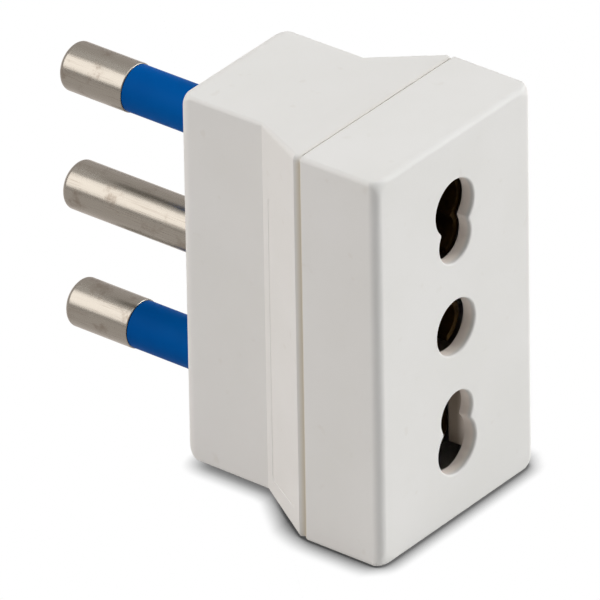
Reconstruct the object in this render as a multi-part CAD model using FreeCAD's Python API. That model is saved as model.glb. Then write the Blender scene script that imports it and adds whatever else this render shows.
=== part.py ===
import FreeCAD
import Part
import os

from FreeCAD import Vector

# Plug adapter: a three-pin plug with 5 mm pins behind, a socket for 5 mm and 4 mm pins in front.
# Millimetres. X is the width, the socket face looks along -Y, the pins point along +Y, +Z is up the row of pins.
# The origin is the middle of the bounding box in X and Y, on the surface that the adapter stands on.

# Pins and holes, on the centres of the two plug sizes
pin_pitch = 13.0
small_hole_offset = 9.5
pin_diameter = 5.0
pin_length = 19.5
pin_dome = 1.9
pin_seat_step = 0.3
pin_seat_clearance = 0.05
sleeve_length = 11.4
sleeve_wall = 0.5
rivet_diameter = 2.4
large_hole_diameter = 5.8
small_hole_diameter = 4.8

# Front cover
cover_width = 24.0
cover_overhang = 0.9
cover_depth = 9.0
cover_wall = 1.6
face_wall = 1.4
cover_front_radius = 1.0
cover_edge_radius = 0.5
cover_rim_bevel = 0.15
cover_inner_radius = 0.8
hole_edge_bevel = 0.3

# Rear housing: a narrow block that widens to the cover
block_width = 15.8
block_end_room = 7.0
block_depth = 10.15
block_wall = 1.7
block_back_radius = 1.5
block_rear_radius = 1.25
block_edge_radius = 0.5
flare_depth = 6.9
rear_wall = 2.2
rim_inset = 0.05
rim_land = 0.6
rim_side_bevel = 0.28
rim_end_bevel = 0.08
rim_wall = 2.4
seam_gap = 0.15
seam_depth = 0.7

# Tongue of the housing inside the cover, and the barriers between the three chambers
tongue_depth = 2.0
tongue_clearance = 0.1
barrier_wall = 1.2
barrier_gap = 0.3

# Marking panel sunk in one flared side
panel_depth = 0.18
panel_margin = 0.5
panel_top = 7.0
panel_bottom = 1.8
panel_corner_radius = 0.4

# Guide cheeks behind the lower holes of the cover
cheek_wall = 1.0
cheek_depth = 1.9
cheek_below = 2.0

# Spring contacts, bent from brass strip
strip = 0.6
base_strip = 0.8
large_grip_radius = 2.45
small_grip_radius = 1.95
contact_slot = 1.4
contact_gap = 0.3
root_neck = 4.4
root_length = 2.6

# Planes that follow from the sizes, measured back from the socket face
seam = cover_depth
land_start = seam + seam_gap
flare_start = land_start + rim_land
block_start = flare_start + flare_depth
body_depth = block_start + block_depth
floor_plane = body_depth - rear_wall
base_plane = floor_plane - base_strip

# Sizes that follow from others
block_height = 2 * (pin_pitch + block_end_room)
cover_height = block_height + 2 * cover_overhang
barrier_offset = small_hole_offset / 2
front_y = -(body_depth + pin_length) / 2
row_z = cover_height / 2
pin_radius = pin_diameter / 2
seat_radius = pin_radius + pin_seat_step
neck_radius = pin_radius - sleeve_wall
rim_width = cover_width - 2 * rim_inset
rim_height = cover_height - 2 * rim_inset
bore_radius = seat_radius + pin_seat_clearance
large_hole_radius = large_hole_diameter / 2
small_hole_radius = small_hole_diameter / 2


def depth(distance):
    # Y of a plane at this distance behind the socket face
    return front_y + distance


def point(x, distance, z):
    # Z is counted from the middle of the row of pins
    return Vector(x, depth(distance), row_z + z)


def rounded_section(width, height, radius, distance):
    # Rectangle with rounded corners, square to Y
    right = width / 2
    top = height / 2
    bend = radius * (1 - 0.5 ** 0.5)
    edges = []
    corners = [(1, 1), (-1, 1), (-1, -1), (1, -1)]
    arcs = []
    for side, level in corners:
        on_side = point(side * right, distance, level * (top - radius))
        middle = point(side * (right - bend), distance, level * (top - bend))
        on_end = point(side * (right - radius), distance, level * top)
        arcs.append((on_side, middle, on_end) if side == level else (on_end, middle, on_side))
    for index, (start, middle, end) in enumerate(arcs):
        edges.append(Part.Arc(start, middle, end).toShape())
        edges.append(Part.LineSegment(end, arcs[(index + 1) % 4][0]).toShape())
    return Part.Wire(edges)


def prism(width, height, radius, start, end):
    # Straight block with rounded corners between two planes
    face = Part.Face(rounded_section(width, height, radius, start))
    return face.extrude(Vector(0, end - start, 0))


def taper(first, last):
    # Straight-sided body between two sections, each given as width, height, radius and plane
    return Part.makeLoft([rounded_section(*first), rounded_section(*last)], True, True)


def plain_section(width, height, distance):
    # Rectangle with sharp corners, square to Y
    corners = [(1, 1), (-1, 1), (-1, -1), (1, -1), (1, 1)]
    return Part.makePolygon([point(side * width / 2, distance, level * height / 2) for side, level in corners])


def cylinder(radius, start, end, z):
    return Part.makeCylinder(radius, end - start, point(0, start, z), Vector(0, 1, 0))


def cone(start_radius, end_radius, start, end, z):
    return Part.makeCone(start_radius, end_radius, end - start, point(0, start, z), Vector(0, 1, 0))


def slab(x_range, distance_range, z_range):
    # Plain block between three pairs of planes
    size = [high - low for low, high in (x_range, distance_range, z_range)]
    return Part.makeBox(*size, point(x_range[0], distance_range[0], z_range[0]))


def edges_where(shape, test):
    return [edge for edge in shape.Edges if test(edge)]


def runs_along(edge, direction):
    span = edge.Vertexes[-1].Point - edge.Vertexes[0].Point
    straight = edge.Curve.TypeId == "Part::GeomLine"
    return straight and abs(span.normalize().dot(direction)) > 0.999


def lies_at(edge, axis, value):
    # True for an edge that stays in the plane where this coordinate has the value
    box = edge.BoundBox
    low, high = {"y": (box.YMin, box.YMax), "z": (box.ZMin, box.ZMax)}[axis]
    return abs(low - value) < 1e-4 and abs(high - value) < 1e-4


def soften_end(body, end_y, upright_radius, end_radius, edge_radius):
    # Round the upright edges and the top and bottom edges of one end, and the long edges that run to it
    rounds = []
    for index, edge in enumerate(body.Edges, 1):
        at_end = lies_at(edge, "y", end_y)
        if runs_along(edge, Vector(0, 1, 0)):
            rounds.append((index, edge_radius, edge_radius))
        elif at_end and runs_along(edge, Vector(0, 0, 1)):
            rounds.append((index, upright_radius, upright_radius))
        elif at_end:
            rounds.append((index, end_radius, end_radius))
    document = FreeCAD.newDocument("rounding")
    base = document.addObject("Part::Feature", "base")
    base.Shape = body
    rounded = document.addObject("Part::Fillet", "rounded")
    rounded.Base = base
    rounded.Edges = rounds
    document.recompute()
    shape = rounded.Shape.copy()
    FreeCAD.closeDocument(document.Name)
    return shape


def round_hole(radius, z):
    # Through the face wall, with a bevelled edge on the socket face
    mouth = cone(radius + hole_edge_bevel, radius, 0, hole_edge_bevel, z)
    return cylinder(radius, -1, face_wall, z).fuse(mouth)


def paired_holes(level):
    # Two overlapping round holes: the large one further out, the small one nearer the middle
    large = round_hole(large_hole_radius, level * pin_pitch)
    return large.fuse(round_hole(small_hole_radius, level * small_hole_offset))


def barriers(width, start, end):
    # The two walls between the earth chamber and the line chambers
    half = barrier_wall / 2
    walls = []
    for level in (1, -1):
        z = level * barrier_offset
        walls.append(slab((-width / 2, width / 2), (start, end), (z - half, z + half)))
    return walls


def make_front_cover():
    width = cover_width
    height = cover_height
    outer = slab((-width / 2, width / 2), (0, seam), (-height / 2, height / 2))
    outer = soften_end(outer, depth(0), cover_front_radius, cover_edge_radius, cover_edge_radius)
    rim = edges_where(outer, lambda edge: lies_at(edge, "y", depth(seam)))
    outer = outer.makeChamfer(cover_rim_bevel, rim)

    inner_width = width - 2 * cover_wall
    inner_height = height - 2 * cover_wall
    cover = outer.cut(prism(inner_width, inner_height, cover_inner_radius, face_wall, seam + 1))

    # The barriers stop short of the housing's tongue and its own barriers
    barrier_end = seam - tongue_depth - barrier_gap
    cover = cover.fuse(barriers(inner_width + cover_wall, face_wall / 2, barrier_end))

    # Two cheeks beside the lower pair of holes
    cheek_low = -pin_pitch - cheek_below
    cheek_high = -small_hole_offset + small_hole_radius
    for side in (1, -1):
        near = side * large_hole_radius
        far = side * (large_hole_radius + cheek_wall)
        reach = (face_wall / 2, face_wall + cheek_depth)
        cover = cover.fuse(slab((min(near, far), max(near, far)), reach, (cheek_low, cheek_high)))

    holes = [paired_holes(1), round_hole(large_hole_radius, 0), paired_holes(-1)]
    return cover.cut(holes).removeSplitter()


def marking_panel():
    # Shallow recess in the flared side at -X, with its floor parallel to that side
    side_run = Vector((rim_width - block_width) / 2, flare_depth, 0)
    width = side_run.Length - 2 * panel_margin
    low = -block_height / 2 + panel_bottom
    high = block_height / 2 - panel_top
    recess = Part.makeBox(2 * panel_depth, width, high - low, Vector(-panel_depth, panel_margin, low))
    along_x = Vector(1, 0, 0)
    recess = recess.makeFillet(panel_corner_radius, edges_where(recess, lambda edge: runs_along(edge, along_x)))
    turn = FreeCAD.Rotation(Vector(0, 1, 0), side_run)
    recess.Placement = FreeCAD.Placement(point(-rim_width / 2, flare_start, 0), turn)
    return recess


def make_rear_housing():
    radius = block_edge_radius
    half_width = block_width / 2
    half_height = block_height / 2
    block = slab((-half_width, half_width), (block_start, body_depth), (-half_height, half_height))
    block = soften_end(block, depth(body_depth), block_back_radius, block_rear_radius, radius)
    flare = taper((rim_width, rim_height, radius, flare_start), (block_width, block_height, radius, block_start))
    land_width = rim_width - 2 * rim_side_bevel
    land_height = rim_height - 2 * rim_end_bevel
    land = taper((land_width, land_height, radius, land_start), (rim_width, rim_height, radius, flare_start))
    seat = prism(cover_width - 2 * seam_depth, cover_height - 2 * seam_depth, radius, seam, flare_start)
    tongue_gap = 2 * (cover_wall + tongue_clearance)
    tongue = prism(
        cover_width - tongue_gap, cover_height - tongue_gap, cover_inner_radius, seam - tongue_depth, flare_start
    )
    housing = block.fuse([flare, land, seat, tongue])

    # One hollow runs from the mouth, through the flare, to the floor behind the contacts
    mouth = (rim_width - 2 * rim_wall, rim_height - 2 * rim_wall)
    chamber = (block_width - 2 * block_wall, block_height - 2 * block_wall)
    stations = [(mouth, seam - tongue_depth - 1), (mouth, land_start), (chamber, block_start), (chamber, floor_plane)]
    hollow = Part.makeLoft([plain_section(*size, plane) for size, plane in stations], True, True)
    walls = [wall.common(hollow) for wall in barriers(rim_width, seam - tongue_depth, floor_plane)]
    housing = housing.cut(hollow).fuse(walls)

    bores = [cylinder(bore_radius, floor_plane - 1, body_depth + 1, level * pin_pitch) for level in (-1, 0, 1)]
    return housing.cut(bores + [marking_panel()]).removeSplitter()


def turned(outline, z):
    # Solid of revolution from a closed outline of (radius, distance) beside a pin's axis
    wire = Part.makePolygon([point(radius, distance, z) for radius, distance in outline])
    return Part.Face(wire).revolve(point(0, 0, z), Vector(0, 1, 0), 360)


def dome(z):
    # Crown of the tip: its radius follows from the dome's height over the pin's radius
    tip = body_depth + pin_length
    crown_radius = (pin_radius ** 2 + pin_dome ** 2) / (2 * pin_dome)
    ball = Part.makeSphere(crown_radius, point(0, tip - crown_radius, z))
    return ball.common(cylinder(pin_radius, tip - pin_dome, tip, z))


def make_pin(level, sleeved):
    # Turned from the rivet tail to the domed tip, with a seat for the bore or a neck for the sleeve
    z = level * pin_pitch
    shoulder = body_depth + pin_length - pin_dome
    rivet_radius = rivet_diameter / 2
    start_radius = neck_radius if sleeved else seat_radius
    step = body_depth + sleeve_length if sleeved else body_depth
    outline = [
        (0, shoulder),
        (0, base_plane),
        (rivet_radius, base_plane),
        (rivet_radius, floor_plane),
        (start_radius, floor_plane),
        (start_radius, step),
        (pin_radius, step),
        (pin_radius, shoulder),
        (0, shoulder),
    ]
    return turned(outline, z).fuse(dome(z)).removeSplitter()


def make_sleeve(level):
    # Moulded on the neck, thick in the bore of the housing, then flush with the bare end of the pin
    z = level * pin_pitch
    end = body_depth + sleeve_length
    ring = [
        (neck_radius, floor_plane),
        (seat_radius, floor_plane),
        (seat_radius, body_depth),
        (pin_radius, body_depth),
        (pin_radius, end),
        (neck_radius, end),
        (neck_radius, floor_plane),
    ]
    return turned(ring, z)


def spring_arms(lobes, mouth, level):
    # Two strips rolled round the pins, open along the top and bottom, on a narrow root at the base
    outer = None
    inner = None
    for grip_radius, offset in lobes:
        z = level * offset
        around = cylinder(grip_radius + strip, mouth, base_plane, z)
        bore = cylinder(grip_radius, mouth - 1, base_plane, z)
        outer = around if outer is None else outer.fuse(around)
        inner = bore if inner is None else inner.fuse(bore)
    arms = outer.cut(inner)
    box = arms.BoundBox
    low = box.ZMin - row_z - 1
    high = box.ZMax - row_z + 1
    half_slot = contact_slot / 2
    arms = arms.cut(slab((-half_slot, half_slot), (mouth - 1, base_plane + 1), (low, high)))

    # Above and below the root the strip is cut back, so that each arm can spread
    middle = (low + high) / 2
    reach = box.XMax + 1
    root = (base_plane - root_length, base_plane + 1)
    for start, end in ((low, middle - root_neck / 2), (middle + root_neck / 2, high)):
        arms = arms.cut(slab((-reach, reach), root, (start, end)))
    return arms, low + 1, high - 1


def make_contact(lobes, mouth, level, rivet_offset):
    arms, low, high = spring_arms(lobes, mouth, level)
    half_width = large_side(lobes)
    base = slab((-half_width, half_width), (base_plane, floor_plane), (low, high))
    contact = arms.fuse(base)
    hole = cylinder(rivet_diameter / 2, base_plane - 1, floor_plane + 1, level * rivet_offset)
    return contact.cut(hole).removeSplitter()


def large_side(lobes):
    # Half the width over the widest pair of arms
    return max(radius for radius, offset in lobes) + strip


def make_line_contact(level):
    lobes = [(large_grip_radius, pin_pitch), (small_grip_radius, small_hole_offset)]
    behind_cheeks = face_wall + cheek_depth + contact_gap
    mouth = face_wall + contact_gap if level > 0 else behind_cheeks
    return make_contact(lobes, mouth, level, pin_pitch)


def make_earth_contact():
    return make_contact([(small_grip_radius, 0)], face_wall + contact_gap, 1, 0)


def build():
    return {
        "front_cover": make_front_cover(),
        "rear_housing": make_rear_housing(),
        "earth_pin": make_pin(0, False),
        "upper_line_pin": make_pin(1, True),
        "lower_line_pin": make_pin(-1, True),
        "upper_pin_sleeve": make_sleeve(1),
        "lower_pin_sleeve": make_sleeve(-1),
        "earth_contact": make_earth_contact(),
        "upper_line_contact": make_line_contact(1),
        "lower_line_contact": make_line_contact(-1),
    }


os.makedirs("parts", exist_ok=True)
for name, shape in build().items():
    solids = shape.Solids
    print(name, "solids", len(solids), "valid", shape.isValid(), "volume", round(shape.Volume, 2))
    single = solids[0] if len(solids) == 1 else shape
    single.exportStep("parts/" + name + ".step")
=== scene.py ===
import bpy
import bmesh
import math
import numpy as np
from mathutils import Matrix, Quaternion, Vector
from mathutils.geometry import delaunay_2d_cdt


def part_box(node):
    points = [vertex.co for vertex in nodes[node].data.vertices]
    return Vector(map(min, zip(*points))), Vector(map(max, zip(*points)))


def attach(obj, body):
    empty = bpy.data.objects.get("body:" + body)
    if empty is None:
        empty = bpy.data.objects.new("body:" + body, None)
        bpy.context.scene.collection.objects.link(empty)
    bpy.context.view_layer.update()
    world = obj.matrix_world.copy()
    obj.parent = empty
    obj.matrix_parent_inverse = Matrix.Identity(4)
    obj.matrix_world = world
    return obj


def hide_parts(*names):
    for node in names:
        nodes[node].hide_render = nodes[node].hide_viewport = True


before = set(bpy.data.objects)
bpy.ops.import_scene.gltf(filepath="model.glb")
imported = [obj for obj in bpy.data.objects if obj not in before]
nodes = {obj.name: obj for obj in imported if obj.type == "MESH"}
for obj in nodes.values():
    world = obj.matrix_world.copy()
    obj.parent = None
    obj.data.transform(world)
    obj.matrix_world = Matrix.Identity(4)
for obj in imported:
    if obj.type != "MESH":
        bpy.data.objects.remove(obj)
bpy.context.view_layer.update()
mm = 0.001
print("frame loaded:", len(nodes), "nodes")

# The socket face is the plane that depths are counted from; heights are counted from the middle pin
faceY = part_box("front_cover")[0].y / mm
rowZ = (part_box("earth_pin")[0].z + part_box("earth_pin")[1].z) / 2 / mm

# Points closer than the weld are merged and edges shorter than the sliver go, both in metres. The flat
# tolerance is in mm
meshing = {"weld": 2e-7, "sliver": 1e-8, "flatTolerance": 1e-5, "flatWeight": 100}


def place(across, depth, height):
    # X is across, Y is the socket face plus the depth, Z is the row of pins plus the height
    across, depth, height = np.broadcast_arrays(across, depth, height)
    return np.stack([across, faceY + depth, rowZ + height], axis=-1) * mm


def inMetres(values):
    return [value * mm for value in values]


def depthsToY(depths):
    return [(faceY + depth) * mm for depth in depths]


def quarterTurn(steps):
    return np.linspace(0, math.pi / 2, steps)


def quarterRing(x, z):
    # One corner from the side to the end, mirrored round the other three corners, gives a closed ring
    return (np.concatenate([x, -x[::-1], -x, x[::-1]]), np.concatenate([z, z[::-1], -z, -z[::-1]]))


def boxRing(halfWidth, halfHeight, corner, depth, steps=9):
    # x = w - c + c cos t and z = h - c + c sin t, for t from 0 to a quarter turn
    t = quarterTurn(steps)
    x, z = quarterRing(halfWidth - corner + corner * np.cos(t), halfHeight - corner + corner * np.sin(t))
    return place(x, depth, z)


def fallAway(radius, inward):
    # How far a rounded edge has drawn in at a distance from its end: r - sqrt(r^2 - (r - inward)^2)
    left = max(radius - inward, 0)
    return radius - math.sqrt(max(radius ** 2 - left ** 2, 0))


def softEndRing(size, endRadii, inward, depth, grown, drawn=0.0):
    # Section near a rounded end: the sides and the top and bottom draw in by their own radii, and the
    # corner's radius grows towards the end
    halfWidth, halfHeight, corner = size
    sideRadius, levelRadius = endRadii
    halfWidth -= fallAway(sideRadius, inward)
    halfHeight -= drawn + fallAway(levelRadius, inward)
    corner += grown * max(1 - inward / max(endRadii), 0)
    return boxRing(halfWidth, halfHeight, corner, depth)


def circleRing(radius, depth, height, steps=72):
    t = np.linspace(0, 2 * math.pi, steps, endpoint=False)
    return place(radius * np.cos(t), depth, height + radius * np.sin(t))


def keyholeRing(large, small, blend, depth, level, centres, steps=(72, 56, 10)):
    # Two overlapping circles joined by small arcs, each with its centre at the two radii plus the blend
    apart = centres[0] - centres[1]
    along = ((large + blend) ** 2 - (small + blend) ** 2 + apart ** 2) / (2 * apart)
    half = math.sqrt((large + blend) ** 2 - along ** 2)
    outerTurn = math.atan2(half, along)
    innerTurn = math.atan2(half, along - apart)
    a = np.linspace(outerTurn, 2 * math.pi - outerTurn, steps[0])
    b = np.linspace(-innerTurn, innerTurn, steps[1])
    c = np.linspace(math.pi - outerTurn, math.pi - innerTurn, steps[2])[1:-1]
    bendX = blend * np.sin(c) - half
    bendDrop = along + blend * np.cos(c)
    x = np.concatenate([large * np.sin(a), bendX, small * np.sin(b), -bendX[::-1]])
    drop = np.concatenate([large * np.cos(a), bendDrop, apart + small * np.cos(b), bendDrop[::-1]])
    return place(x, depth, level * (centres[0] - drop))


def ringBands(rings):
    # Quads between each ring and the next. The last point of a ring is joined to its first
    count, size = len(rings), len(rings[0])
    grid = np.arange(count * size).reshape(count, size)
    after = np.roll(grid, -1, axis=1)
    quads = np.stack([grid[:-1], after[:-1], after[1:], grid[1:]], axis=-1).reshape(-1, 4)
    return np.concatenate(rings), quads


def insideLoop(points, loop):
    # Even-odd rule: a point is inside where the loop's edges cross its ray an odd number of times
    start, end = loop, np.roll(loop, -1, axis=0)
    px, py = points[:, None, 0], points[:, None, 1]
    spans = (start[:, 1] > py) != (end[:, 1] > py)
    rise = np.where(end[:, 1] == start[:, 1], 1, end[:, 1] - start[:, 1])
    cross = start[:, 0] + (py - start[:, 1]) * (end[:, 0] - start[:, 0]) / rise
    return (spans & (px < cross)).sum(axis=1) % 2 == 1


def plate(outline, holes, axes):
    # Flat face between an outline and the loops cut out of it, triangulated in the plane of the two axes
    loops = [outline] + holes
    points = np.concatenate(loops)
    flat = np.stack([points @ np.array(axes[0]), points @ np.array(axes[1])], axis=-1) / mm
    starts = np.cumsum([0] + [len(loop) for loop in loops])
    orders = [np.arange(start, end) for start, end in zip(starts, starts[1:])]
    edges = np.concatenate([np.stack([order, np.roll(order, -1)], axis=-1) for order in orders])
    corners = [Vector(point) for point in flat.tolist()]
    result = delaunay_2d_cdt(corners, edges.tolist(), [], 0, meshing["flatTolerance"])
    original = np.array([group[0] for group in result[3]])
    faces = original[np.array(result[2])]
    middle = flat[faces].mean(axis=1)
    keep = insideLoop(middle, flat[orders[0]])
    for order in orders[1:]:
        keep &= ~insideLoop(middle, flat[order])
    return points, faces[keep]


def slab(xRange, depthRange, zRange):
    # Plain block between three pairs of planes
    x, y, z = np.meshgrid(xRange, depthRange, zRange, indexing="ij")
    faces = [[0, 1, 3, 2], [4, 6, 7, 5], [0, 4, 5, 1], [2, 3, 7, 6], [0, 2, 6, 4], [1, 5, 7, 3]]
    return place(x.ravel(), y.ravel(), z.ravel()), np.array(faces)


def upright(plan, zRange):
    # Straight wall with a plan of (across, depth), between two heights
    plan = np.array(plan)
    rings = [place(plan[:, 0], plan[:, 1], z) for z in zRange]
    points, quads = ringBands(rings)
    size = len(plan)
    return points, quads.tolist() + [list(range(size)), list(range(size, 2 * size))]


def lathe(profile, height, steps=96):
    # Turned form: each (radius, depth) of the profile carried round the pin's axis
    profile = np.array(profile)
    t = np.linspace(0, 2 * math.pi, steps, endpoint=False)
    x = profile[:, :1] * np.cos(t)
    z = profile[:, :1] * np.sin(t) + height
    return ringBands(list(place(x, profile[:, 1:], z)))


def arcPoints(centre, radius, start, end, steps):
    # (radius, depth) of a circle's arc about a centre, with angles in degrees from the outward direction
    t = np.radians(np.linspace(start, end, steps))
    return np.stack([centre[0] + radius * np.cos(t), centre[1] + radius * np.sin(t)], axis=-1).tolist()


def makePiece(name, parts, material, crease=32):
    points = np.concatenate([part[0] for part in parts])
    faces = []
    offset = 0
    for vertices, polygons in parts:
        faces += [[int(corner) + offset for corner in polygon] for polygon in polygons]
        offset += len(vertices)
    mesh = bpy.data.meshes.new(name)
    mesh.from_pydata(points.tolist(), [], faces)
    work = bmesh.new()
    work.from_mesh(mesh)
    bmesh.ops.remove_doubles(work, verts=work.verts, dist=meshing["weld"])
    bmesh.ops.dissolve_degenerate(work, edges=work.edges, dist=meshing["sliver"])
    bmesh.ops.recalc_face_normals(work, faces=work.faces)
    work.to_mesh(mesh)
    work.free()
    mesh.shade_smooth()
    mesh.set_sharp_from_angle(angle=math.radians(crease))
    mesh.materials.append(material)
    piece = bpy.data.objects.new(name, mesh)
    bpy.context.scene.collection.objects.link(piece)
    weighted = piece.modifiers.new("flat faces", "WEIGHTED_NORMAL")
    weighted.keep_sharp = True
    weighted.weight = meshing["flatWeight"]
    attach(piece, "root")
    return piece


def newMaterial(name):
    material = bpy.data.materials.new(name)
    material.use_nodes = True
    tree = material.node_tree
    tree.nodes.clear()
    out = tree.nodes.new("ShaderNodeOutputMaterial")
    shader = tree.nodes.new("ShaderNodeBsdfPrincipled")
    tree.links.new(shader.outputs["BSDF"], out.inputs["Surface"])
    return material, tree, shader


def addNode(tree, kind, settings=None, **inputs):
    # An input is called by its name, or by n and its number, and takes a link or a constant
    node = tree.nodes.new(kind)
    for key, value in (settings or {}).items():
        setattr(node, key, value)
    for key, value in inputs.items():
        socket = node.inputs[key] if key in node.inputs else node.inputs[int(key[1:])]
        if isinstance(value, bpy.types.NodeSocket):
            tree.links.new(value, socket)
        else:
            socket.default_value = value
    return node


def mathNode(tree, operation, a, b=0.0):
    return addNode(tree, "ShaderNodeMath", {"operation": operation}, n0=a, n1=b).outputs[0]


def mixColour(tree, factor, a, b):
    # The colours of a mix node are its inputs 6 and 7 and its output 2
    return addNode(tree, "ShaderNodeMix", {"data_type": "RGBA"}, n0=factor, n6=a, n7=b).outputs[2]


def mapRange(tree, value, fromLow, fromHigh, toLow, toHigh, smooth=False):
    settings = {"interpolation_type": "SMOOTHSTEP" if smooth else "LINEAR"}
    ends = {"n1": fromLow, "n2": fromHigh, "n3": toLow, "n4": toHigh}
    return addNode(tree, "ShaderNodeMapRange", settings, n0=value, **ends).outputs[0]


def noise(tree, vector, scale, detail, **more):
    settings = {"Vector": vector, "Scale": scale, "Detail": detail, **more}
    return addNode(tree, "ShaderNodeTexNoise", None, **settings).outputs[0]


def addBump(tree, shader, height, bump):
    strength, distance = bump
    node = addNode(tree, "ShaderNodeBump", None, Height=height, Strength=strength, Distance=distance)
    tree.links.new(node.outputs[0], shader.inputs["Normal"])


def linear(red, green, blue):
    # Screen value of 0 to 255 to scene light, by the sRGB curve
    values = []
    for level in (red, green, blue):
        level /= 255
        values.append(level / 12.92 if level <= 0.04045 else ((level + 0.055) / 1.055) ** 2.4)
    return (*values, 1)


# Each noise has its repeats to the metre and its detail. A speck starts to show at the low end of the range
# and shows fully from the high end
skinNoise = {"fine": (9000.0, 2.0), "slow": (160.0, 3.0), "cloud": (90.0, 4.0), "specks": (700.0, 1.0)}
speckRange = (0.7, 0.8)


def makeSkinGroup():
    # Moulded surface: a fine grain, a slow waviness, a cloudy tone and specks, all from object coordinates
    group = bpy.data.node_groups.new("mouldedSkin", "ShaderNodeTree")
    group.interface.new_socket(name="Vector", in_out="INPUT", socket_type="NodeSocketVector")
    for label in ("Grain", "Waviness"):
        group.interface.new_socket(name=label, in_out="INPUT", socket_type="NodeSocketFloat")
    for label in ("Height", "Cloud", "Speckle"):
        group.interface.new_socket(name=label, in_out="OUTPUT", socket_type="NodeSocketFloat")
    start = group.nodes.new("NodeGroupInput").outputs
    end = group.nodes.new("NodeGroupOutput").inputs
    made = {label: noise(group, start["Vector"], *values) for label, values in skinNoise.items()}
    fineLift = mathNode(group, "MULTIPLY", made["fine"], start["Grain"])
    slowLift = mathNode(group, "MULTIPLY", made["slow"], start["Waviness"])
    group.links.new(mathNode(group, "ADD", fineLift, slowLift), end["Height"])
    group.links.new(made["cloud"], end["Cloud"])
    group.links.new(mapRange(group, made["specks"], *speckRange, 0, 1), end["Speckle"])
    return group


skinGroup = makeSkinGroup()


def useSkin(tree, vector, grain, waviness):
    node = tree.nodes.new("ShaderNodeGroup")
    node.node_tree = skinGroup
    tree.links.new(vector, node.inputs["Vector"])
    node.inputs["Grain"].default_value = grain
    node.inputs["Waviness"].default_value = waviness
    return node.outputs


# Heights and half widths are from the middle pin in mm. A skin is its grain and waviness, and a bump its
# strength and its distance in metres
plasticLook = {
    "body": linear(232, 231, 229), "cloud": linear(229, 228, 225), "cloudRange": (0.35, 0.7),
    "speck": linear(205, 198, 186), "speckShare": 0.15,
    # The seam colour is painted shade, which falls to the given share between the two heights near the top
    "seam": linear(206, 195, 173), "seamShadeHeights": (20.0, 20.5), "seamShadeTopShare": 0.2,
    # The lip colour is painted light, lighter and warmer than the body, and the inner colour is painted shade
    "lipLight": linear(250, 240, 231), "inner": linear(166, 154, 141),
    "holeSides": (5.0, 7.0), "holeHeights": (17.5, 19.0),
    "roughness": (0.42, 0.52), "roughRange": (0.3, 0.7), "specular": 0.22, "ior": 1.5,
    "skin": (0.35, 0.5), "bump": (0.35, 0.00001),
}


def makePlastic(name, seam, holeLightShade=None):
    # White moulded plastic, with a yellowish painted shade along the seam that is weaker along the top
    look = plasticLook
    material, tree, shader = newMaterial(name)
    where = addNode(tree, "ShaderNodeTexCoord").outputs["Object"]
    skin = useSkin(tree, where, *look["skin"])
    cloud = mapRange(tree, skin["Cloud"], *look["cloudRange"], 0, 1)
    base = mixColour(tree, cloud, look["body"], look["cloud"])
    specks = mathNode(tree, "MULTIPLY", skin["Speckle"], look["speckShare"])
    base = mixColour(tree, specks, base, look["speck"])
    parts = addNode(tree, "ShaderNodeSeparateXYZ", None, Vector=where).outputs
    # Painted shade along the seam, weaker near the top
    depth, reach, darkness = seam
    apart = mathNode(tree, "ABSOLUTE", mathNode(tree, "SUBTRACT", parts["Y"], *depthsToY([depth])))
    near = mapRange(tree, apart, reach * mm, 0.0, 0.0, darkness, True)
    low, high = [(rowZ + height) * mm for height in look["seamShadeHeights"]]
    seamShadeTopFade = mapRange(tree, parts["Z"], low, high, 1.0, look["seamShadeTopShare"])
    base = mixColour(tree, mathNode(tree, "MULTIPLY", near, seamShadeTopFade), base, look["seam"])
    if holeLightShade:
        # Painted light makes the walls of the holes a lighter, warmer white, and painted shade darkens the
        # plastic behind the face
        across = mathNode(tree, "ABSOLUTE", parts["X"])
        sides = mapRange(tree, across, *inMetres(look["holeSides"]), 1.0, 0.0)
        level = mathNode(tree, "ABSOLUTE", mathNode(tree, "SUBTRACT", parts["Z"], rowZ * mm))
        heights = mapRange(tree, level, *inMetres(look["holeHeights"]), 1.0, 0.0)
        middle = mathNode(tree, "MULTIPLY", sides, heights)
        for label, depths in holeLightShade.items():
            behind = mapRange(tree, parts["Y"], *depthsToY(depths), 0.0, 1.0, True)
            base = mixColour(tree, mathNode(tree, "MULTIPLY", behind, middle), base, look[label])
    tree.links.new(base, shader.inputs["Base Color"])
    rough = mapRange(tree, skin["Cloud"], *look["roughRange"], *look["roughness"])
    tree.links.new(rough, shader.inputs["Roughness"])
    shader.inputs["IOR"].default_value = look["ior"]
    shader.inputs["Specular IOR Level"].default_value = look["specular"]
    addBump(tree, shader, skin["Height"], look["bump"])
    return material


# Half sizes, radii, depths from the socket face and heights from the middle pin are in mm. The inner shell is
# its half width, half height and corner radius, the seam's painted shade its reach and share, and each
# painted light or shade of the holes two depths
cover = {
    "halfWidth": 12.0, "halfHeight": 20.9, "depth": 9.0,
    "frontRadii": (1.0, 0.6), "edgeRadius": 0.5, "cornerGrowth": 0.8, "rimRadius": 0.15,
    "inner": (10.4, 19.3, 0.8), "faceWall": 1.4, "seam": (0.22, 0.75),
    "largeHole": 2.9, "smallHole": 2.4, "centres": (13.0, 9.5), "holeRounding": 0.2, "holeBlend": 0.4,
    "barrierHeight": 4.75, "barrierHalf": 0.6, "barrierEnd": 6.7,
    "cheekIn": 2.9, "cheekOut": 3.9, "cheekEnd": 3.3, "cheekHeights": (-15.0, -7.1),
    "sideBuried": 0.1, "faceBuried": 0.05, "frontSteps": 17, "rimSteps": 6, "holeSteps": 9,
    # Painted light at the lips of the holes and painted shade behind the face, each between two depths
    "holeLightShade": {"lipLight": (0.0, 0.7), "inner": (1.3, 2.4)},
}


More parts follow.
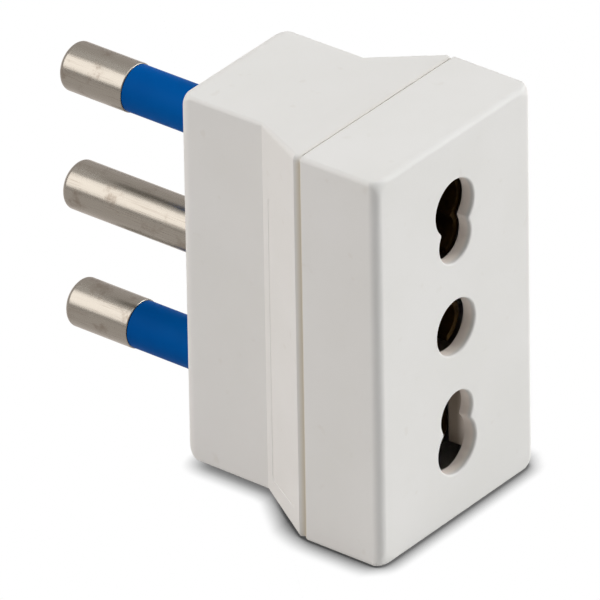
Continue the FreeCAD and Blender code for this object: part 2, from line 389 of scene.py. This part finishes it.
def holeTube(level):
    # Edge rounding of r (1 - sin t) beside the hole at the depth r (1 - cos t), then the straight wall
    t = quarterTurn(cover["holeSteps"])
    beside = np.append(cover["holeRounding"] * (1 - np.sin(t)), 0)
    depths = np.append(cover["holeRounding"] * (1 - np.cos(t)), cover["faceWall"])
    rings = []
    for gap, depth in zip(beside, depths):
        if level == 0:
            rings.append(circleRing(cover["largeHole"] + gap, depth, 0))
        else:
            sizes = (cover["largeHole"] + gap, cover["smallHole"] + gap, cover["holeBlend"] - gap)
            rings.append(keyholeRing(*sizes, depth, level, cover["centres"]))
    return rings


def makeCover(material):
    size = (cover["halfWidth"], cover["halfHeight"], cover["edgeRadius"])
    radii, inner = cover["frontRadii"], cover["inner"]
    depth, rim = cover["depth"], cover["rimRadius"]
    rings = []
    for t in quarterTurn(cover["frontSteps"]):
        inward = max(radii) * (1 - math.cos(t))
        rings.append(softEndRing(size, radii, inward, inward, cover["cornerGrowth"]))
    for t in quarterTurn(cover["rimSteps"]):
        inset = rim * (1 - math.cos(t))
        rings.append(boxRing(*[value - inset for value in size], depth - rim + rim * math.sin(t)))
    rings += [boxRing(*inner, depth), boxRing(*inner, cover["faceWall"])]
    tubes = [holeTube(level) for level in (1, 0, -1)]
    parts = [ringBands(rings)] + [ringBands(tube) for tube in tubes]
    axes = ((1, 0, 0), (0, 0, 1))
    parts.append(plate(rings[0], [tube[0] for tube in tubes], axes))
    parts.append(plate(rings[-1], [tube[-1] for tube in tubes], axes))

    # The insulating walls and the cheeks run a little into the shell
    half = inner[0] + cover["sideBuried"]
    wall = cover["faceWall"] - cover["faceBuried"]
    for level in (1, -1):
        heights = sorted(level * (cover["barrierHeight"] + side * cover["barrierHalf"]) for side in (1, -1))
        parts.append(slab((-half, half), (wall, cover["barrierEnd"]), heights))
    for side in (1, -1):
        across = sorted((side * cover["cheekIn"], side * cover["cheekOut"]))
        parts.append(slab(across, (wall, cover["cheekEnd"]), cover["cheekHeights"]))
    return makePiece("frontCoverShell", parts, material)


coverPlastic = makePlastic("coverPlastic", (cover["depth"], *cover["seam"]), cover["holeLightShade"])
coverShell = makeCover(coverPlastic)
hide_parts("front_cover")
print("front cover made:", len(coverShell.data.polygons), "faces")


# A section is its half width, half height and corner radius, and depths are from the socket face, in mm. The
# seam's painted shade is its depth, reach and share
housing = {
    "tongue": (10.3, 19.2, 0.8), "tongueStart": 7.0,
    "seat": (11.3, 20.7, 0.5), "seamStart": 9.0,
    "land": (11.67, 20.77, 0.5), "landStart": 9.15,
    "rim": (11.95, 20.85, 0.6), "flareStart": 9.75,
    "block": (7.9, 20.0, 0.4), "blockStart": 16.65, "end": 26.8,
    "backRadii": (1.5, 1.25), "cornerGrowth": 0.9, "draft": 0.08, "backSteps": 19, "seam": (9.05, 0.75, 0.85),
    "mouth": (9.55, 18.45), "chamber": (6.2, 18.3), "floor": 24.6,
    "bore": 2.85, "pitch": 13.0, "barrierHeight": 4.75, "barrierHalf": 0.6, "buried": 0.1,
    "panelMargin": 1.25, "panelLow": -18.2, "panelHigh": 12.7, "panelCorner": 0.4, "panelDepth": 0.05,
    "panelSoft": 0.025, "panelCornerSteps": 8, "panelSoftSteps": 5,
}


def panelLoops():
    # The flared side at -X is a plane of (along the slope, height), and the recess sinks square to it
    rim, block = housing["rim"][0], housing["block"][0]
    run = np.array([rim - block, housing["blockStart"] - housing["flareStart"]])
    length = np.hypot(*run)
    slope = run / length
    low, high, corner = housing["panelLow"], housing["panelHigh"], housing["panelCorner"]
    middle, half = (low + high) / 2, (high - low) / 2
    halfRun = length / 2 - housing["panelMargin"]

    def onSlope(along, height, sunk):
        across = -rim + slope[0] * along + slope[1] * sunk
        depth = housing["flareStart"] + slope[1] * along - slope[0] * sunk
        return place(across, depth, height)

    def loop(inset, sunk):
        t = quarterTurn(housing["panelCornerSteps"])
        radius = corner - inset
        u, v = quarterRing(halfRun - corner + radius * np.cos(t), half - corner + radius * np.sin(t))
        return onSlope(length / 2 + u, middle + v, sunk)

    soft, deep = housing["panelSoft"], housing["panelDepth"]
    turns = quarterTurn(housing["panelSoftSteps"])
    loops = [loop(soft * math.sin(t) - soft, soft * (1 - math.cos(t))) for t in turns]
    loops += [loop(soft * (1 - math.cos(t)), deep - soft + soft * math.sin(t)) for t in turns]
    return loops, (slope[0], slope[1], 0)


def makeHousing(material):
    rings = [
        boxRing(*housing["mouth"], 0, housing["tongueStart"]),
        boxRing(*housing["tongue"], housing["tongueStart"]),
        boxRing(*housing["tongue"], housing["seamStart"]),
        boxRing(*housing["seat"], housing["seamStart"]),
        boxRing(*housing["seat"], housing["landStart"]),
        boxRing(*housing["land"], housing["landStart"]),
        boxRing(*housing["rim"], housing["flareStart"]),
    ]
    flareRing = len(rings) - 1
    rings.append(boxRing(*housing["block"], housing["blockStart"]))
    radii, grown = housing["backRadii"], housing["cornerGrowth"]
    length = housing["end"] - housing["blockStart"]
    for t in quarterTurn(housing["backSteps"])[::-1]:
        inward = max(radii) * (1 - math.cos(t))
        drawn = housing["draft"] * (1 - inward / length)
        rings.append(softEndRing(housing["block"], radii, inward, housing["end"] - inward, grown, drawn))
    points, quads = ringBands(rings)

    # The quad of the flared side at -X makes way for the plate with the recess
    size = len(rings[0])
    side = flareRing * size + size // 2 - 1
    quads = quads[quads[:, 0] != side]
    outline = points[[side, side + 1, side + size + 1, side + size]]
    loops, slope = panelLoops()
    parts = [(points, quads), ringBands(loops), (loops[-1], [list(range(len(loops[-1])))])]
    parts.append(plate(outline, [loops[0]], (slope, (0, 0, 1))))

    axes = ((1, 0, 0), (0, 0, 1))
    heights = [level * housing["pitch"] for level in (1, 0, -1)]
    ends = (housing["end"], housing["floor"])
    bores = [[circleRing(housing["bore"], depth, z) for depth in ends] for z in heights]
    chamber = [
        boxRing(*housing["mouth"], 0, housing["tongueStart"]),
        boxRing(*housing["mouth"], 0, housing["landStart"]),
        boxRing(*housing["chamber"], 0, housing["blockStart"]),
        boxRing(*housing["chamber"], 0, housing["floor"]),
    ]
    parts += [ringBands(bore) for bore in bores] + [ringBands(chamber)]
    parts.append(plate(rings[-1], [bore[0] for bore in bores], axes))

    # The points of a square corner fall together, so one from each quarter of the ring is enough
    parts.append(plate(chamber[-1][::size // 4], [bore[1] for bore in bores], axes))

    # The insulating walls follow the chamber in plan and run a little into its sides
    buried = housing["buried"]
    mouth, pocket = housing["mouth"][0] + buried, housing["chamber"][0] + buried
    plan = [(mouth, housing["tongueStart"]), (mouth, housing["landStart"])]
    plan += [(pocket, housing["blockStart"]), (pocket, housing["floor"] + buried)]
    plan += [(-x, depth) for x, depth in reversed(plan)]
    for level in (1, -1):
        z = [level * (housing["barrierHeight"] + side * housing["barrierHalf"]) for side in (-level, level)]
        parts.append(upright(plan, z))
    return makePiece("rearHousingShell", parts, material, crease=24)


housingPlastic = makePlastic("housingPlastic", housing["seam"])
housingShell = makeHousing(housingPlastic)
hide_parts("rear_housing")
print("rear housing made:", len(housingShell.data.polygons), "faces")


# Radii, and depths from the socket face, in mm
pin = {
    "radius": 2.5, "sleeve": 2.4, "neck": 2.0, "seat": 2.8, "rivet": 1.2,
    "base": 23.8, "floor": 24.6, "face": 26.8, "sleeveEnd": 37.95, "tip": 46.28,
    "dome": 1.35, "corner": 0.6, "soft": 0.1, "cornerSteps": 14, "crownSteps": 9, "softSteps": 5,
}


def domeProfile():
    # Corner arc from the side, then a flatter crown that is tangent to it and ends on the axis
    inset = pin["radius"] - pin["corner"]
    rise = pin["dome"] - pin["corner"]
    drop = (inset ** 2 - rise ** 2) / (2 * rise)
    turn = math.degrees(math.atan2(drop, inset))
    shoulder = pin["tip"] - pin["dome"]
    side = arcPoints((inset, shoulder), pin["corner"], 0, turn, pin["cornerSteps"])
    crown = arcPoints((0, shoulder - drop), pin["dome"] + drop, turn, 90, pin["crownSteps"])
    crown[-1][0] = 0.0
    return side + crown[1:]


def softStep(outer, depth):
    # Rounded outer edge of the face that looks back towards the body
    soft = pin["soft"]
    edge = arcPoints((outer - soft, depth + soft), soft, -90, 0, pin["softSteps"])
    return [[outer - soft, depth]] + edge[1:]


def makePin(name, node, level, sleeved, material):
    start = pin["neck"] if sleeved else pin["seat"]
    step = pin["sleeveEnd"] if sleeved else pin["face"]
    profile = [[0, pin["base"]], [pin["rivet"], pin["base"]], [pin["rivet"], pin["floor"]]]
    profile += [[start, pin["floor"]], [start, step]]
    profile += softStep(pin["radius"], step) if sleeved else [[pin["radius"], step]]
    profile += domeProfile()
    piece = makePiece(name, [lathe(profile, level * housing["pitch"])], material)
    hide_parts(node)


def makeSleeve(name, node, level, material):
    end, soft = pin["sleeveEnd"], pin["soft"]
    profile = [[pin["neck"], pin["floor"]], [pin["seat"], pin["floor"]]]
    profile += [[pin["seat"], pin["face"]], [pin["sleeve"], pin["face"]]]
    profile += arcPoints((pin["sleeve"] - soft, end - soft), soft, 0, 90, pin["softSteps"])
    profile += [[pin["neck"], end], [pin["neck"], pin["floor"]]]
    piece = makePiece(name, [lathe(profile, level * housing["pitch"])], material)
    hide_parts(node)


# Stain and streak are a range of their noise and the shares it maps to
platedLook = {
    "light": linear(142, 140, 134), "dark": linear(100, 88, 76),
    "drawnStretch": (9000.0, 260.0, 9000.0), "drawnDetail": 3.0, "drawnShare": 0.7,
    "ringStretch": (500.0, 7000.0, 500.0), "ringDetail": 2.0, "ringShare": 0.3,
    "patches": (420.0, 5.0), "patchRoughness": 0.65,
    "stain": (0.52, 0.72, 0, 0.55), "streak": (0.55, 0.75, 0, 0.35),
    "roughRange": (0.4, 1.1), "roughness": (0.25, 0.37), "bump": (0.25, 0.00001),
}


def makePlated():
    # Nickel plate with drawn marks along the pin, fine cross scratches and brown rubbed patches
    look = platedLook
    material, tree, shader = newMaterial("nickelPlate")
    where = addNode(tree, "ShaderNodeTexCoord").outputs["Object"]
    along = addNode(tree, "ShaderNodeMapping", None, Vector=where, Scale=look["drawnStretch"])
    across = addNode(tree, "ShaderNodeMapping", None, Vector=where, Scale=look["ringStretch"])
    drawn = noise(tree, along.outputs[0], 1.0, look["drawnDetail"])
    rings = noise(tree, across.outputs[0], 1.0, look["ringDetail"])
    patches = noise(tree, where, *look["patches"], Roughness=look["patchRoughness"])
    stain = mapRange(tree, patches, *look["stain"], True)
    streak = mapRange(tree, drawn, *look["streak"], True)
    tone = mathNode(tree, "MAXIMUM", stain, streak)
    tree.links.new(mixColour(tree, tone, look["light"], look["dark"]), shader.inputs["Base Color"])
    shader.inputs["Metallic"].default_value = 1.0
    wear = mathNode(tree, "ADD", drawn, stain)
    rough = mapRange(tree, wear, *look["roughRange"], *look["roughness"])
    tree.links.new(rough, shader.inputs["Roughness"])
    drawnLift = mathNode(tree, "MULTIPLY", drawn, look["drawnShare"])
    ringLift = mathNode(tree, "MULTIPLY", rings, look["ringShare"])
    addBump(tree, shader, mathNode(tree, "ADD", drawnLift, ringLift), look["bump"])
    return material


sleeveLook = {
    "body": linear(0, 88, 165), "deep": linear(0, 80, 155), "cloudRange": (0.35, 0.7),
    "roughRange": (0.3, 0.7), "roughness": (0.34, 0.46), "specular": 0.015,
    "skin": (0.3, 0.4), "bump": (0.3, 0.00001),
}


def makeBlue():
    look = sleeveLook
    material, tree, shader = newMaterial("blueSleeve")
    where = addNode(tree, "ShaderNodeTexCoord").outputs["Object"]
    shader.inputs["Specular IOR Level"].default_value = look["specular"]
    skin = useSkin(tree, where, *look["skin"])
    cloud = mapRange(tree, skin["Cloud"], *look["cloudRange"], 0, 1)
    tree.links.new(mixColour(tree, cloud, look["body"], look["deep"]), shader.inputs["Base Color"])
    rough = mapRange(tree, skin["Cloud"], *look["roughRange"], *look["roughness"])
    tree.links.new(rough, shader.inputs["Roughness"])
    addBump(tree, shader, skin["Height"], look["bump"])
    return material


nickelPlate = makePlated()
blueSleeve = makeBlue()
makePin("earthPinTurned", "earth_pin", 0, False, nickelPlate)
makePin("upperPinTurned", "upper_line_pin", 1, True, nickelPlate)
makePin("lowerPinTurned", "lower_line_pin", -1, True, nickelPlate)
makeSleeve("upperSleeveMoulded", "upper_pin_sleeve", 1, blueSleeve)
makeSleeve("lowerSleeveMoulded", "lower_pin_sleeve", -1, blueSleeve)
print("pins and sleeves made")


brassLook = {
    "bright": linear(92, 72, 38), "dull": linear(48, 37, 21), "tarnish": (500.0, 4.0),
    "tarnishRange": (0.35, 0.65), "roughness": (0.4, 0.6), "bump": (0.2, 0.00001),
}


def makeBrass():
    look = brassLook
    material, tree, shader = newMaterial("dullBrass")
    where = addNode(tree, "ShaderNodeTexCoord").outputs["Object"]
    tarnish = noise(tree, where, *look["tarnish"])
    tone = mapRange(tree, tarnish, *look["tarnishRange"], 0, 1)
    tree.links.new(mixColour(tree, tone, look["bright"], look["dull"]), shader.inputs["Base Color"])
    shader.inputs["Metallic"].default_value = 1.0
    rough = mapRange(tree, tarnish, *look["tarnishRange"], *look["roughness"])
    tree.links.new(rough, shader.inputs["Roughness"])
    addBump(tree, shader, tarnish, look["bump"])
    return material


dullBrass = makeBrass()
for name in ("earth_contact", "upper_line_contact", "lower_line_contact"):
    nodes[name].data.materials.clear()
    nodes[name].data.materials.append(dullBrass)
print("contacts finished")


# The shadow's reaches, and the depths from the socket face where they change, are in mm. A lamp has its
# place, size, power and colour
studio = {
    "floorSize": 3.0, "floorColour": (0.8, 0.8, 0.8, 1), "white": (1, 1, 1, 1),
    "shadowReach": {"side": 2.8, "front": 1.9, "block": 1.85}, "shadowSamples": 24,
    "frontDepths": (-0.3, 1.0), "blockDepths": (12.5, housing["blockStart"]),
    "shadowLow": (0.45, 0.2), "shadowHigh": 0.95, "shadowDark": (0.07, 0.2),
    "world": 0.06, "backdrop": 0.9, "horizon": 0.12, "horizonDark": 0.1,
    "wallColour": (1.0, 0.905, 0.845, 1),
    "lamps": [
        ("frontRight", (1.093, -1.093, 0.434), 1.0, 18.7, (1.0, 1.0, 0.99)),
        ("backLeft", (-0.959, 0.959, 0.868), 1.5, 13.9, (1.0, 0.94, 0.898)),
        ("above", (0.0, 0.0, 1.4), 1.3, 11.0, (0.955, 0.985, 1.0)),
    ],
    "lampAim": (0.0, 0.0, 0.02),
}


def mirroredRays(tree, path):
    return mathNode(tree, "MAXIMUM", path["Is Glossy Ray"], path["Is Transmission Ray"])


def makeFloor():
    half = studio["floorSize"] / 2
    corners = [(-half, -half, 0), (half, -half, 0), (half, half, 0), (-half, half, 0)]
    mesh = bpy.data.meshes.new("floor")
    mesh.from_pydata(corners, [], [(0, 1, 2, 3)])
    floor = bpy.data.objects.new("floor", mesh)
    bpy.context.scene.collection.objects.link(floor)
    material = bpy.data.materials.new("whiteFloor")
    material.use_nodes = True
    tree = material.node_tree
    tree.nodes.clear()
    out = tree.nodes.new("ShaderNodeOutputMaterial")
    matt = addNode(tree, "ShaderNodeBsdfDiffuse", None, Color=studio["floorColour"])

    # The camera and gloss see white paper with a painted shadow that darkens it close to the object, less far
    # in front of it and below the block
    where = addNode(tree, "ShaderNodeTexCoord").outputs["Object"]
    depth = addNode(tree, "ShaderNodeSeparateXYZ", None, Vector=where).outputs["Y"]
    front = mapRange(tree, depth, *depthsToY(studio["frontDepths"]), 1.0, 0.0)
    rear = mapRange(tree, depth, *depthsToY(studio["blockDepths"]), 0.0, 1.0)
    far = {name: value * mm for name, value in studio["shadowReach"].items()}
    frontReach = mapRange(tree, front, 0.0, 1.0, far["side"], far["front"])
    blockReach = mapRange(tree, rear, 0.0, 1.0, far["side"], far["block"])
    reach = mathNode(tree, "MINIMUM", frontReach, blockReach)
    settings = {"samples": studio["shadowSamples"]}
    near = addNode(tree, "ShaderNodeAmbientOcclusion", settings, Distance=reach)
    low = mapRange(tree, rear, 0.0, 1.0, *studio["shadowLow"])
    dark = mapRange(tree, front, 0.0, 1.0, *studio["shadowDark"])
    shade = mapRange(tree, near.outputs["AO"], low, studio["shadowHigh"], dark, 1.0)
    path = addNode(tree, "ShaderNodeLightPath").outputs
    mirrored = mirroredRays(tree, path)
    colour = mixColour(tree, mirrored, studio["white"], studio["wallColour"])
    paper = addNode(tree, "ShaderNodeEmission", None, Color=colour, Strength=shade)
    seen = mathNode(tree, "MAXIMUM", path["Is Camera Ray"], mirrored)
    both = addNode(tree, "ShaderNodeMixShader", None, n0=seen, n1=matt.outputs[0], n2=paper.outputs[0])
    tree.links.new(both.outputs[0], out.inputs["Surface"])
    mesh.materials.append(material)


def makeWorld():
    world = bpy.data.worlds.new("studioWorld")
    bpy.context.scene.world = world
    world.use_nodes = True
    tree = world.node_tree
    tree.nodes.clear()
    out = tree.nodes.new("ShaderNodeOutputWorld")

    # White for the camera. Gloss sees a wall that is dark just above the edge of the floor
    path = addNode(tree, "ShaderNodeLightPath").outputs
    where = addNode(tree, "ShaderNodeTexCoord").outputs["Generated"]
    up = addNode(tree, "ShaderNodeSeparateXYZ", None, Vector=where).outputs["Z"]
    wall = mapRange(tree, up, 0.0, studio["horizon"], studio["horizonDark"], studio["backdrop"], True)
    mirrored = mirroredRays(tree, path)
    lit = addNode(tree, "ShaderNodeMix", None, n0=mirrored, n2=studio["world"], n3=wall).outputs[0]
    strength = addNode(tree, "ShaderNodeMix", None, n0=path["Is Camera Ray"], n2=lit, n3=1.0).outputs[0]
    colour = mixColour(tree, mirrored, studio["white"], studio["wallColour"])
    back = addNode(tree, "ShaderNodeBackground", None, Color=colour, Strength=strength)
    tree.links.new(back.outputs[0], out.inputs["Surface"])


def makeLamps():
    aim = Vector(studio["lampAim"])
    for name, spot, size, power, colour in studio["lamps"]:
        data = bpy.data.lights.new(name, "AREA")
        data.shape = "DISK"
        data.size = size
        data.energy = power
        data.color = colour
        lamp = bpy.data.objects.new(name, data)
        lamp.location = spot
        lamp.rotation_mode = "QUATERNION"
        lamp.rotation_quaternion = (aim - Vector(spot)).to_track_quat("-Z", "Y")
        bpy.context.scene.collection.objects.link(lamp)


# Place, aim, lens and sensor are in mm, the roll in degrees and the clipping distances in metres
view = {
    "place": (-958.730, -761.884, 738.967), "aim": (0.396, -4.184, 17.034), "roll": -0.969,
    "lens": 900.0, "sensor": 36.0, "clip": (0.1, 20.0),
}


def makeCamera():
    data = bpy.data.cameras.new("camera")
    data.sensor_width = view["sensor"]
    data.lens = view["lens"]
    data.clip_start, data.clip_end = view["clip"]
    camera = bpy.data.objects.new("camera", data)
    spot, aim = Vector(view["place"]) * mm, Vector(view["aim"]) * mm
    roll = Quaternion((0, 0, 1), math.radians(view["roll"]))
    camera.location = spot
    camera.rotation_mode = "QUATERNION"
    camera.rotation_quaternion = (aim - spot).to_track_quat("-Z", "Y") @ roll
    bpy.context.scene.collection.objects.link(camera)
    bpy.context.scene.camera = camera


makeFloor()
makeWorld()
makeLamps()
makeCamera()
bpy.context.scene.view_settings.view_transform = "Standard"
print("studio set up")
